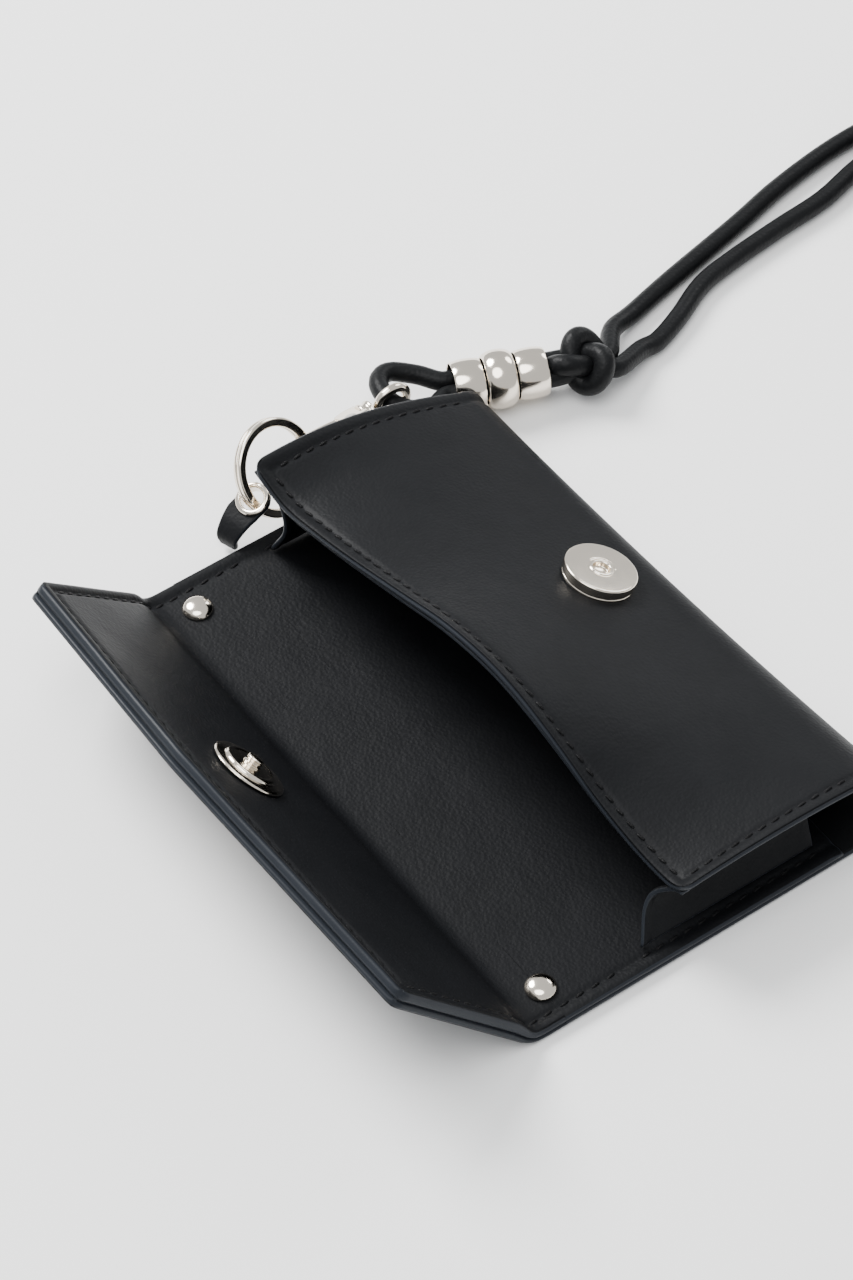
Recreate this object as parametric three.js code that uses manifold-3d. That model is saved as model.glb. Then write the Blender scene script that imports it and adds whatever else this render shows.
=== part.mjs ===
// Long leather wallet on a cord strap, millimetres, +Z up.
// Origin: middle of the flat underside of the back panel. X runs along the wallet, the mouth faces -Y.
// The wallet lies on its back: pocket open, flap folded out behind it along -Y.
import * as THREE from 'three';
import { mergeVertices } from 'three/addons/utils/BufferGeometryUtils.js';
import Module from 'manifold-3d';

const wasm = await Module();
wasm.setup();

// ---- body ----
const WIDTH = 156;
const HALF = WIDTH / 2;
const LAID_OUT = 156;        // body width for which the points at the left end and the lip were measured
const END_SHIFT = LAID_OUT / 2 - HALF;   // carries ring, hook and strap along with the left end
const SKIN = 1.4;            // outer leather
const LINING = 1.1;          // lining leather
const GAP = 0.3;             // air left between neighbouring pieces
const STACK = SKIN + GAP + LINING;
const BACK_Y0 = -30;         // back panel, mouth end
const FOLD_Y = 30;           // where the back starts to bend up
const FOLD_R_LEFT = 8.5;     // outer radius of the bent bottom, left and right end
const FOLD_R_RIGHT = 12.5;
const LIP_LEFT = [-28.8, 30.8];   // y, z of the front panel's free edge at the two ends
const LIP_RIGHT = [-20.4, 25.9];
const CAMBER_LEFT = 2.6;     // bulge of the front panel between the bottom and the free edge
const CAMBER_RIGHT = 1;
// How far the free edge stands above a straight line between its ends: x, rise.
const LIP_RISE = [
  [-78, 0], [-66, -4.6], [-53, -2.8], [-40, 0.5], [-20, 6.6], [-5, 11], [10, 12.5],
  [22, 10.8], [36, 6], [47, 1.1], [60, -2.5], [72, -3.3], [78, -1],
];

// ---- flap ----
const HINGE_Y = -36;         // axis of the flap hinge
const STRIP_Y0 = -41.4;      // strip of leather that bends at the hinge
const CREASE_Y = -60.8;      // second crease, between the middle and the front of the flap
const FRONT_TILT = 46;       // degrees the flap's front stands up at rest
const FRONT_LEN = 47.5;
const FRONT_TAPER = 6.5;     // narrowing at each side over that length
const POINT_X = -9;          // tip of the flap's shallow V
const POINT_OUT = 4.5;
const FACING = 2.6;          // thick inner layer of the flap's front

// ---- snap and rivets ----
const SNAP_X = -7;
const SNAP_D = 18;
const SOCKET_Y = 20.2;
const PLATE_D = 19;
const PLATE_S = 28.5;        // plate centre, measured along the flap from the crease
const RIVET_X = HALF - 10;
const RIVET_Y = -51.5;
const RIVET_D = 7.4;

// ---- ring, hook, strap ----
const RING_C = [-87 + END_SHIFT, -15.8, 12.4];
const RING_N = [0.798, 0.249, 0.549];
const RING_IN = 9.9;         // inner radius
const RING_OUT = 12.1;
const RING_THICK = 2.7;
const TAB_EYE = [-82.75 + END_SHIFT, -25, 10.4];     // hole in the tab that the ring passes through
const TAB_UP = [0.1, -0.4, 0.9];
const HOOK_AXIS = [-89.3 + END_SHIFT, 10.8];          // x, z of the hook's long axis, which runs along Y
const HOOK_SIDE = [0.824, 0, 0.567];      // from the hook's spine towards its gate
const HOOK_WIRE = 2.6;
const BOW_Y = -3.6;
const BOW_R = 4.9;
const PIN_Y = 7.3;
const PIN_B = 2.9;
const EYE_Y = 20.2;
const CORD_D = 5;
const STRANDS = 5.3;                      // distance between the two strands in the beads
const BEAD_DIR = [0.376, 0.927, 0];
const BEAD_P = [-82.6 + END_SHIFT, 47.6, 7.4];        // middle bead
const BEAD_STEP = 8;
const BEAD_D = [12.4, 14.5, 12.4];
const BEAD_LEN = 7.5;
const BEAD_BORE = 10.9;
const KNOT_P = [-74.8 + END_SHIFT, 66.9, 8.6];
const KNOT_LEN = 18.6;
const KNOT_D = 16.8;
const COIL_C = [-68 + END_SHIFT, 205];
const COIL_IN = 23;
const COIL_OUT = 34.5;
const COIL_Z = [0.9, 16.4];
const TIE = 0.45;            // thickness of the band that ties the coil

const COLOURS = {
  leather: '#26282b', lining: '#2b2d30', cord: '#1f2123', metal: '#cfc8ba', dark: '#8f8c86',
};
const group = new THREE.Group();

function add(name, geometry, slot) {
  const rough = slot === 'metal' || slot === 'dark' ? 0.3 : 0.75;
  const metal = slot === 'metal' || slot === 'dark' ? 1 : 0;
  const material = new THREE.MeshStandardMaterial({ color: COLOURS[slot], roughness: rough, metalness: metal });
  const mesh = new THREE.Mesh(geometry, material);
  mesh.name = name;
  group.add(mesh);
}

// ---- small helpers ----
const lerp = (a, b, t) => a + (b - a) * t;
const clamp = (t) => Math.min(1, Math.max(0, t));
const share = (x) => clamp((x + HALF) / WIDTH);
const shifted = ([x, y, z]) => [x + END_SHIFT, y, z];

function weld(geometry) {
  geometry.deleteAttribute('normal');
  geometry.deleteAttribute('uv');
  return mergeVertices(geometry, 1e-4);
}

// A block cut into nu by nv by 1 cells; place(u, v, w) with u, v, w in 0..1 gives each corner.
function bent(nu, nv, place) {
  const box = new THREE.BoxGeometry(1, 1, 1, nu, nv, 1);
  const p = box.attributes.position;
  for (let i = 0; i < p.count; i += 1) {
    const q = place(p.getX(i) + 0.5, p.getY(i) + 0.5, p.getZ(i) + 0.5);
    p.setXYZ(i, q[0], q[1], q[2]);
  }
  return faceOut(weld(box));
}

function toSolid(geometry) {
  const g = geometry.index ? geometry : weld(geometry);
  return new wasm.Manifold(new wasm.Mesh({
    numProp: 3,
    vertProperties: new Float32Array(g.attributes.position.array),
    triVerts: new Uint32Array(g.index.array),
  }));
}

function fromSolid(solid) {
  const m = solid.getMesh();
  const g = new THREE.BufferGeometry();
  g.setAttribute('position', new THREE.BufferAttribute(new Float32Array(m.vertProperties), 3));
  g.setIndex(new THREE.BufferAttribute(new Uint32Array(m.triVerts), 1));
  return g;
}

// Turned part: profile of [radius, height] pairs, standing on a point along a direction.
function turned(profile, at, dir, sides = 32) {
  const points = [...profile, profile[0]].map(([r, z]) => new THREE.Vector2(r, z));
  const g = weld(new THREE.LatheGeometry(points, sides));
  const q = new THREE.Quaternion().setFromUnitVectors(
    new THREE.Vector3(0, 1, 0), new THREE.Vector3(...dir).normalize(),
  );
  g.applyQuaternion(q);
  g.translate(...at);
  return faceOut(g);
}

function faceOut(g) {
  const p = g.attributes.position;
  const index = g.index.array;
  const [a, b, c] = [new THREE.Vector3(), new THREE.Vector3(), new THREE.Vector3()];
  let volume = 0;
  for (let i = 0; i < index.length; i += 3) {
    a.fromBufferAttribute(p, index[i]);
    b.fromBufferAttribute(p, index[i + 1]);
    c.fromBufferAttribute(p, index[i + 2]);
    volume += a.dot(b.cross(c));
  }
  if (volume < 0) {
    for (let i = 0; i < index.length; i += 3) {
      [index[i + 1], index[i + 2]] = [index[i + 2], index[i + 1]];
    }
  }
  return g;
}

// Round bar along a smooth curve through the points.
function bar(points, d, steps, sides = 10, closed = false) {
  const curve = new THREE.CatmullRomCurve3(points.map((q) => new THREE.Vector3(...q)), closed);
  const ring = [];
  for (let i = 0; i < sides; i += 1) {
    const a = (i / sides) * 2 * Math.PI;
    ring.push(new THREE.Vector2(Math.cos(a) * d / 2, Math.sin(a) * d / 2));
  }
  const shape = new THREE.Shape(ring);
  const g = new THREE.ExtrudeGeometry(shape, { steps, extrudePath: curve, bevelEnabled: false });
  return faceOut(weld(g));
}

// ---- shape of the front panel ----
function lipRise(place) {
  const x = place * LAID_OUT / WIDTH;
  let i = 0;
  while (i < LIP_RISE.length - 2 && x > LIP_RISE[i + 1][0]) i += 1;
  const at = (k) => LIP_RISE[Math.min(LIP_RISE.length - 1, Math.max(0, k))];
  const [x0, y0] = at(i);
  const [x1, y1] = at(i + 1);
  const t = clamp((x - x0) / (x1 - x0));
  const m0 = (y1 - at(i - 1)[1]) / (x1 - at(i - 1)[0]) * (x1 - x0);
  const m1 = (at(i + 2)[1] - y0) / (at(i + 2)[0] - x0) * (x1 - x0);
  const t2 = t * t;
  const t3 = t2 * t;
  return (2 * t3 - 3 * t2 + 1) * y0 + (t3 - 2 * t2 + t) * m0 + (3 * t2 - 2 * t3) * y1 + (t3 - t2) * m1;
}

function foldRadius(x) {
  return lerp(FOLD_R_LEFT, FOLD_R_RIGHT, share(x) ** 2);
}

function lipEnd(x) {
  return [lerp(LIP_LEFT[0], LIP_RIGHT[0], share(x)), lerp(LIP_LEFT[1], LIP_RIGHT[1], share(x))];
}

// Angle on the bent bottom, seen from its centre, where the front panel leaves it.
function leaveAngle(x) {
  const r = foldRadius(x);
  const [y, z] = lipEnd(x);
  const [dy, dz] = [y - FOLD_Y, z - r];
  return Math.atan2(dz, dy) - Math.acos(r / Math.hypot(dy, dz));
}

// Outer surface of the front: v = 0 where it leaves the bent bottom, v = 1 at the free edge.
function frontSkin(x, v) {
  const r = foldRadius(x);
  const a = leaveAngle(x);
  const [y0, z0] = [FOLD_Y + r * Math.cos(a), r + r * Math.sin(a)];
  const [y1, z1] = lipEnd(x);
  const bulge = 4 * v * (1 - v) * lerp(CAMBER_LEFT, CAMBER_RIGHT, share(x));
  return [lerp(y0, y1, v), lerp(z0, z1, v) + lipRise(x) * Math.max(0, v) ** 1.6 + bulge];
}

// The same surface moved inwards by a depth.
function frontAt(x, v, depth) {
  const e = 0.01;
  const [ya, za] = frontSkin(x, v - e);
  const [yb, zb] = frontSkin(x, v + e);
  const l = Math.hypot(yb - ya, zb - za);
  const [y, z] = frontSkin(x, v);
  return [x, y - (zb - za) / l * depth, z + (yb - ya) / l * depth];
}

function foldAt(x, angle, depth) {
  const r = foldRadius(x);
  return [x, FOLD_Y + (r - depth) * Math.cos(angle), r + (r - depth) * Math.sin(angle)];
}

// ---- back of the body ----
const slab = (x, y0, y1, z0, z1) => bent(1, 1, (u, v, w) => [
  lerp(-x, x, u), lerp(y0, y1, v), lerp(z0, z1, w),
]);
add('back_panel', slab(HALF, BACK_Y0, FOLD_Y - GAP, 0, SKIN), 'leather');
add('back_lining', slab(HALF - 1, BACK_Y0 + 0.4, FOLD_Y - 3, SKIN + GAP, STACK), 'lining');
add('flap_hinge_strip', slab(HALF, STRIP_Y0, BACK_Y0 - GAP, 0, STACK), 'leather');

const UP = -Math.PI / 2;
add('bottom_fold', bent(12, 10, (u, v, w) => {
  const x = lerp(-HALF, HALF, u);
  return foldAt(x, lerp(UP, leaveAngle(x) - 0.05, v), SKIN * (1 - w));
}), 'leather');

// ---- front of the body ----
const NU = 22;
const frontPanel = bent(NU, 5, (u, v, w) => frontAt(lerp(-HALF, HALF, u), v, SKIN * (1 - w)));
const frontLining = bent(NU, 5, (u, v, w) => frontAt(
  lerp(1 - HALF, HALF - 1, u), lerp(-0.03, 0.993, v), lerp(STACK, SKIN + GAP, w),
));

// Snap socket on the front panel.
const socketV = (() => {
  let v = 0;
  while (frontSkin(SNAP_X, v)[0] > SOCKET_Y) v += 0.002;
  return v;
})();
const seat = frontSkin(SNAP_X, socketV);
const ahead = frontSkin(SNAP_X, socketV + 0.05);
const slope = new THREE.Vector3(0, ahead[0] - seat[0], ahead[1] - seat[1]).normalize();
const seatUp = [0, slope.z, -slope.y];
const alongSeat = (h) => [SNAP_X, seat[0] + seatUp[1] * h, seat[1] + seatUp[2] * h];
const socketHole = toSolid(turned([[0, -9], [2.3, -9], [2.3, 4], [0, 4]], alongSeat(0), seatUp, 16));
add('front_panel', fromSolid(toSolid(frontPanel).subtract(socketHole)), 'leather');
add('front_lining', fromSolid(toSolid(frontLining).subtract(socketHole)), 'lining');
const SR = SNAP_D / 2;
add('snap_socket', turned([
  [0, -3.1], [1.9, -3.1], [1.9, 0.3], [SR - 2, 0.6], [SR, 1.2], [SR, 3.2], [SR - 0.4, 3.6], [3, 3.6],
  [2.6, 3.4], [2.6, 1.8], [0, 1.8],
], alongSeat(0), seatUp, 28), 'metal');
add('snap_socket_back', turned([
  [0, -4.9], [4.2, -4.7], [5, -4.2], [5, -3.4], [0, -3.4],
], alongSeat(0), seatUp, 24), 'dark');

// ---- gussets: one fold inwards at each end ----
const GUSSET_IN = 9;         // depth of the fold
const GUSSET_T = 1;
function gussetLine(side, u, v) {
  const x = side * (HALF - 2.4);
  const top = frontAt(x, lerp(0.1, 0.95, u), STACK + 0.9);
  const low = [lerp(22, BACK_Y0 + 3, u), STACK + 0.9];
  return [x - side * GUSSET_IN * Math.sin(Math.PI * v), lerp(low[0], top[1], v), lerp(low[1], top[2], v)];
}
for (const [name, side] of [['gusset_left', -1], ['gusset_right', 1]]) {
  add(name, bent(5, 10, (u, v, w) => {
    const e = 0.01;
    const [xa, , za] = gussetLine(side, u, v - e);
    const [xb, , zb] = gussetLine(side, u, v + e);
    const l = Math.hypot(xb - xa, zb - za);
    const [x, y, z] = gussetLine(side, u, v);
    const h = (w - 0.5) * GUSSET_T;
    return [x + (zb - za) / l * h, y, z - (xb - xa) / l * h];
  }), 'leather');
}

// ---- middle of the flap ----
const flapHoles = [-1, 1].map((s) => toSolid(turned(
  [[0, -1], [1.7, -1], [1.7, 4], [0, 4]], [s * RIVET_X, RIVET_Y, 0], [0, 0, 1], 16,
)));
const flapSeats = [-1, 1].map((s) => toSolid(turned(
  [[0, -1], [3.9, -1], [3.9, 0.8], [0, 0.8]], [s * RIVET_X, RIVET_Y, 0], [0, 0, 1], 20,
)));
const MID_Y1 = STRIP_Y0 - GAP;
let midOuter = toSolid(slab(HALF, CREASE_Y + 0.6, MID_Y1, 0, SKIN));
let midLining = toSolid(slab(HALF, CREASE_Y + 1.9, MID_Y1, SKIN + GAP, STACK));
for (let i = 0; i < 2; i += 1) {
  midOuter = midOuter.subtract(flapHoles[i]).subtract(flapSeats[i]);
  midLining = midLining.subtract(flapHoles[i]);
}
add('flap_middle_leather', fromSolid(midOuter), 'leather');
add('flap_middle_lining', fromSolid(midLining), 'leather');
for (const [tag, s] of [['left', -1], ['right', 1]]) {
  const at = [s * RIVET_X, RIVET_Y, 0];
  const r = RIVET_D / 2;
  add(`rivet_${tag}_cap`, turned([
    [0, 1.0], [1.4, 1.0], [1.4, 3.1], [r, 3.1], [r, 3.5], [r - 0.5, 4.2], [r - 1.6, 4.7], [0, 4.9],
  ], at, [0, 0, 1], 24), 'metal');
  add(`rivet_${tag}_back`, turned([[0, 0.1], [3.4, 0.1], [3.6, 0.4], [3.4, 0.7], [0, 0.7]], at, [0, 0, 1], 20), 'dark');
}

// ---- front of the flap ----
const TILT = FRONT_TILT * Math.PI / 180;
const along = [0, -Math.cos(TILT), Math.sin(TILT)];
const inward = [0, Math.sin(TILT), Math.cos(TILT)];
const creaseZ = SKIN;
const onFlap = (x, s, h) => [
  x, CREASE_Y + along[1] * s + inward[1] * h, creaseZ + along[2] * s + inward[2] * h,
];
function flapSheet(start, h0, h1, inset) {
  const shape = (u, v) => {
    const s = lerp(start, FRONT_LEN - inset, v);
    const half = HALF - FRONT_TAPER * s / FRONT_LEN - inset;
    const x = u < 0.5 ? lerp(-half, POINT_X, u * 2) : lerp(POINT_X, half, u * 2 - 1);
    const tip = (1 - Math.abs(u - 0.5) * 2) * POINT_OUT * v;
    return [x, s + tip];
  };
  return bent(2, 1, (u, v, w) => {
    const [x, s] = shape(u, v);
    return onFlap(x, s, lerp(h0, h1, 1 - w));
  });
}
const plateAt = (h) => onFlap(SNAP_X, PLATE_S, h);
const plateHole = toSolid(turned([[0, -4], [2.3, -4], [2.3, 6], [0, 6]], plateAt(0), inward, 16));
const sheet = (...args) => fromSolid(toSolid(flapSheet(...args)).subtract(plateHole));
add('flap_front_leather', sheet(0.5, -SKIN, 0, 0), 'leather');
add('flap_front_facing', sheet(2.6, GAP, GAP + FACING, 0.4), 'leather');
const PR = PLATE_D / 2;
const H = GAP + FACING;
add('snap_plate', turned([
  [0, H + 0.3], [PR, H + 0.3], [PR, H + 0.8], [PR - 0.7, H + 1.3], [PR - 2.6, H + 1.4], [PR - 2.9, H + 2.0],
  [PR - 4.4, H + 2.1], [0, H + 2.1],
], plateAt(0), inward, 28), 'metal');
add('snap_stud', turned([
  [0, H + 2.3], [2.1, H + 2.3], [1.9, H + 2.7], [2.2, H + 3.1], [2.1, H + 3.6], [1.6, H + 3.9], [0, H + 3.9],
], plateAt(0), inward, 24), 'metal');
add('snap_post', turned([[0, -1.5], [1.9, -1.5], [1.9, H + 0.1], [0, H + 0.1]], plateAt(0), inward, 16), 'dark');
add('snap_cap', turned([
  [0, -3.1], [4.6, -2.9], [6, -2.3], [6.2, -1.7], [0, -1.7],
], plateAt(0), inward, 32), 'metal');

// ---- tab, ring ----
const unit = (v) => new THREE.Vector3(...v).normalize();
// The tab rises from the corner of the back and leans over towards +Y; x, y, z of its middle line.
const TAB_LINE = [
  ...[[-81.2, -33.4, 1.6], [-81.2, -33.9, 4.6], [-81.7, -31.7, 7.2], [-82.4, -28.6, 8.8]].map(shifted),
  TAB_EYE,
  shifted([-84.2, -21.2, 12.2]),
].map((q) => new THREE.Vector3(...q));
const TAB_W = [4.6, 8.4];
const TAB_T = 1.6;
const tabCurve = new THREE.CatmullRomCurve3(TAB_LINE);
const tabAcross = new THREE.Vector3(-0.95, -0.31, -0.03).normalize();
const tabBlank = bent(16, 2, (u, v, w) => {
  const q = tabCurve.getPoint(u);
  const ahead = tabCurve.getTangent(u);
  const up = new THREE.Vector3().crossVectors(ahead, tabAcross).normalize();
  const round = Math.sqrt(Math.max(0.05, 1 - Math.max(0, (u - 0.78) / 0.23) ** 2));
  const half = lerp(TAB_W[0], TAB_W[1], clamp(u / 0.6)) / 2 * round;
  q.addScaledVector(tabAcross, (2 * v - 1) * half).addScaledVector(up, (w - 0.5) * TAB_T);
  return [q.x, q.y, q.z];
});
const tabHole = toSolid(turned([[0, -3], [3.5, -3], [3.5, 3], [0, 3]], TAB_EYE, TAB_UP, 20));
add('ring_tab', fromSolid(toSolid(tabBlank).subtract(tabHole)), 'leather');
add('tab_eyelet', turned([
  [2.9, -1.3], [3.25, -1.3], [3.25, 1.2], [4.3, 1.2], [4.0, 1.6], [3.2, 1.7], [2.9, 1.4],
], TAB_EYE, TAB_UP, 20), 'metal');
const RT = RING_THICK / 2;
add('ring', turned([
  [RING_IN, -RT + 0.4], [RING_IN + 0.4, -RT], [RING_OUT - 0.4, -RT], [RING_OUT, -RT + 0.4], [RING_OUT, -0.15],
  [RING_OUT - 0.35, 0], [RING_OUT, 0.15], [RING_OUT, RT - 0.4], [RING_OUT - 0.4, RT], [RING_IN + 0.4, RT],
  [RING_IN, RT - 0.4], [RING_IN, 0.15], [RING_IN + 0.35, 0], [RING_IN, -0.15],
], RING_C, RING_N, 28), 'metal');

// ---- swivel hook ----
const hookSide = unit(HOOK_SIDE);
const hookFace = new THREE.Vector3().crossVectors(new THREE.Vector3(0, 1, 0), hookSide).normalize();
const onHook = (a, b, c = 0) => {
  const q = new THREE.Vector3(HOOK_AXIS[0], a, HOOK_AXIS[1]).addScaledVector(hookSide, b).addScaledVector(hookFace, c);
  return [q.x, q.y, q.z];
};
const faceDir = hookFace.toArray();
const bow = [];
for (let i = 0; i <= 8; i += 1) {
  const a = -Math.PI / 2 - i * Math.PI / 8;
  bow.push(onHook(BOW_Y + BOW_R * Math.cos(a), BOW_R * Math.sin(a)));
}
const spine = [onHook(10.4, -1.6), onHook(7.5, -3.9), onHook(2, -4.8)];
const hookBar = bar([...spine, ...bow, onHook(-1.7, BOW_R)], HOOK_WIRE, 26, 8);
const barrel = turned([
  [1.55, 0], [3.1, 0], [3.3, 0.5], [3.0, 1.1], [3.0, 2.3], [3.3, 2.9], [3.1, 3.4], [1.55, 3.4],
], onHook(10.9, 0), [0, 1, 0], 28);
const block = (a0, a1, b0, b1, c0, c1) => bent(1, 1, (u, v, w) => onHook(lerp(a0, a1, u), lerp(b0, b1, v), lerp(c0, c1, w)));
let hookSolid = toSolid(hookBar).add(toSolid(barrel));
for (const c of [-1, 1]) {
  hookSolid = hookSolid.add(toSolid(block(5.4, 11.8, -3.4, 4.4, c < 0 ? -2.5 : 1.5, c < 0 ? -1.5 : 2.5)));
}
const stemHole = toSolid(turned([[0, 0], [1.55, 0], [1.55, 8], [0, 8]], onHook(8, 0), [0, 1, 0], 20));
const pinHole = toSolid(turned([[0, -4], [1.05, -4], [1.05, 4], [0, 4]], onHook(PIN_Y, PIN_B), faceDir, 16));
const headRoom = toSolid(block(9.1, 10.9, -2.2, 2.2, -2.1, 2.1));
hookSolid = hookSolid.subtract(stemHole).subtract(pinHole).subtract(headRoom);
add('hook_body', fromSolid(hookSolid), 'metal');
let gate = toSolid(bar([onHook(PIN_Y - 1.2, PIN_B + 0.1), onHook(3.4, 3.9), onHook(-1.1, BOW_R)], 2.1, 6, 10));
gate = gate.add(toSolid(turned([[0, -1.2], [1.9, -1.2], [1.9, 1.2], [0, 1.2]], onHook(PIN_Y, PIN_B), faceDir, 20)));
const gateHole = toSolid(turned([[0, -4], [1.15, -4], [1.15, 4], [0, 4]], onHook(PIN_Y, PIN_B), faceDir, 16));
gate = gate.subtract(gateHole);
const noseRoom = toSolid(turned([[0, -1.7], [1.75, -1.7], [1.75, 0.3], [0, 0.3]], onHook(-1.7, BOW_R), [0, 1, 0], 16));
add('hook_gate', fromSolid(gate.subtract(noseRoom)), 'metal');
add('gate_pin', turned([
  [0, -2.9], [1.5, -2.9], [1.5, -2.6], [0.8, -2.6], [0.8, 2.6], [1.5, 2.6], [1.5, 2.9], [0, 2.9],
], onHook(PIN_Y, PIN_B), faceDir, 16), 'dark');
const eyeStem = toSolid(turned([
  [0, 1.0], [1.9, 1.0], [1.9, 1.5], [1.2, 1.7], [1.2, 7.9], [0, 7.9],
], onHook(8.4, 0), [0, 1, 0], 20));
const eyeRing = new THREE.TorusGeometry(4.3, 1.2, 8, 24);
eyeRing.rotateY(Math.PI / 2);
eyeRing.translate(...onHook(EYE_Y, 0));
add('swivel_eye', fromSolid(eyeStem.add(toSolid(weld(eyeRing)))), 'metal');

// ---- strap: cord, beads, knot, stored length ----
const beadDir = unit(BEAD_DIR);
const beadSide = new THREE.Vector3(beadDir.y, -beadDir.x, 0);
const onStrap = (s, off) => {
  const q = new THREE.Vector3(...BEAD_P).addScaledVector(beadDir, s).addScaledVector(beadSide, off);
  return [q.x, q.y, q.z];
};
const OFF = STRANDS / 2;
const knotS = new THREE.Vector3(...KNOT_P).sub(new THREE.Vector3(...BEAD_P)).dot(beadDir);
const strapEnd = knotS - KNOT_LEN / 2 - 0.5;
add('strap_loop', bar([
  onStrap(strapEnd, -OFF), onStrap(4, -OFF), onStrap(-7, -OFF), onStrap(-14, -OFF),
  ...[[-95, 31.6, 8.2], [-98.6, 25.8, 9.6], [-96.2, 21.2, 10.5], [-89.3, 19.9, 10.8]].map(shifted),
  ...[[-84.2, 23.3, 10.2], [-83.6, 28.8, 8.6]].map(shifted),
  onStrap(-14, OFF), onStrap(-7, OFF), onStrap(4, OFF), onStrap(strapEnd, OFF),
], CORD_D, 42, 8), 'cord');
['bead_inner', 'bead_middle', 'bead_outer'].forEach((name, i) => {
  const r = BEAD_D[i] / 2;
  const b = BEAD_BORE / 2;
  const h = BEAD_LEN / 2;
  add(name, turned([
    [b, -h], [lerp(b, r, 0.3), -h], [lerp(b, r, 0.72), -h * 0.72], [lerp(b, r, 0.94), -h * 0.36], [r, 0],
    [lerp(b, r, 0.94), h * 0.36], [lerp(b, r, 0.72), h * 0.72], [lerp(b, r, 0.3), h], [b, h],
  ], onStrap((i - 1) * BEAD_STEP, 0), BEAD_DIR, 24), 'metal');
});
const knot = new THREE.SphereGeometry(1, 16, 10);
knot.scale(KNOT_D / 2, KNOT_LEN / 2, KNOT_D / 2);
knot.rotateZ(Math.atan2(-beadDir.x, beadDir.y));
knot.translate(...KNOT_P);
add('strap_knot', faceOut(weld(knot)), 'cord');
add('strap_strand_upper', bar([
  [-78.9, 77.2, 6.2], [-82.6, 83.2, 3.4], [-85.2, 92.5, 2.6], [-88.3, 105.8, 2.6], [-93.7, 130.7, 2.6],
  [-97.8, 147.4, 2.6], [-101.2, 170, 2.6], [-101.6, 187.5, 2.6],
].map(shifted), CORD_D, 20, 8), 'cord');
add('strap_strand_lower', bar([
  [-72.2, 77.9, 5.4], [-72.2, 84.5, 2.9], [-73.6, 92, 2.6], [-77.6, 101.5, 2.6], [-82, 110.5, 2.6],
  [-84.4, 121.4, 2.6], [-86.4, 138.4, 2.6], [-87.8, 153.4, 2.6], [-91.4, 168.5, 2.6], [-92.6, 175.6, 2.6],
].map(shifted), CORD_D, 20, 8), 'cord');
const [z0, z1] = COIL_Z;
add('strap_coil', turned([
  [COIL_IN, z0 + 2], [COIL_IN + 2, z0], [COIL_OUT - 2, z0], [COIL_OUT, z0 + 2], [COIL_OUT, z1 - 2],
  [COIL_OUT - 2, z1], [COIL_IN + 2, z1], [COIL_IN, z1 - 2],
], [...COIL_C, 0], [0, 0, 1], 28), 'cord');
const tieBox = (grow, wide) => bent(1, 1, (u, v, w) => [
  COIL_C[0] + lerp(COIL_IN - grow, COIL_OUT + grow, u),
  COIL_C[1] + lerp(-wide, wide, v),
  lerp(z0 - grow, z1 + grow, w),
]);
const tie = toSolid(tieBox(TIE + 0.4, 2.5)).subtract(toSolid(tieBox(0.4, 4)));
add('coil_tie', fromSolid(tie), 'cord');

export default group;
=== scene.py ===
# %% [markdown]
# # A long leather wallet on a cord strap
# The wallet lies on its back with the pocket open and the flap folded out behind it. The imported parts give
# every place, size and movement. This script hides most of them and builds the finished leather, metal and
# cord around them, so the looks and the mechanics stay in one frame. Sizes below are in millimetres times MM,
# which is metres.

# %% Load the fixed frame
import math

import bmesh
import bpy
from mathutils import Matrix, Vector


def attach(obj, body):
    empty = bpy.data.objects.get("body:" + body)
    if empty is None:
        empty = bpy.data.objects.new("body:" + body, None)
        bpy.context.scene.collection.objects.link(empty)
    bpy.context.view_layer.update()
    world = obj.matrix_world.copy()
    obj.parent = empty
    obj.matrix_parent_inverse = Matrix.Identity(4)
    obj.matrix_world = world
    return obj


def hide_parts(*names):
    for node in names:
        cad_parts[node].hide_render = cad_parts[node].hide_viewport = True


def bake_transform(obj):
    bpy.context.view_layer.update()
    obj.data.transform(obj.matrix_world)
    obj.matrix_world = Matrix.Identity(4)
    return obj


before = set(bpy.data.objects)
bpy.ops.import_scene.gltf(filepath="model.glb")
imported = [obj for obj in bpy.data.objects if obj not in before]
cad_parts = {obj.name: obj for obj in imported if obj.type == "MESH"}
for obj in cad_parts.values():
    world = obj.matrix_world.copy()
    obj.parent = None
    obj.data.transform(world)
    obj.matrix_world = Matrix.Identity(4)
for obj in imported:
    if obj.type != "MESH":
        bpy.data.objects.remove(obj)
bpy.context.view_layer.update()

MM = 0.001
print("parts in the frame:", len(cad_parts))

# %% [markdown]
# ## Camera
# A long lens from more than a metre away keeps the wallet's long edges almost parallel, as a product shot
# does. The azimuth is counted from behind the flap, and the elevation from the table. The camera points along
# the line from its own place down to a point on the table near the ring end.

# %% Camera
azimuth, elevation = math.radians(54.18), math.radians(50.29)
level = math.cos(elevation)
back = Vector((math.sin(azimuth) * level, -math.cos(azimuth) * level, math.sin(elevation)))
camera = bpy.data.objects.new("camera", bpy.data.cameras.new("camera"))
bpy.context.scene.collection.objects.link(camera)
camera.location = (0.58464, -0.45578, 0.91346)
camera.rotation_mode = "QUATERNION"
camera.rotation_quaternion = back.to_track_quat("Z", "Y")
camera.data.lens = 141.35
camera.data.sensor_width = 36
camera.data.clip_start, camera.data.clip_end = 0.05, 20
bpy.context.scene.camera = camera
print("camera", round(camera.location.length, 3), "m from the wallet's origin")

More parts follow.
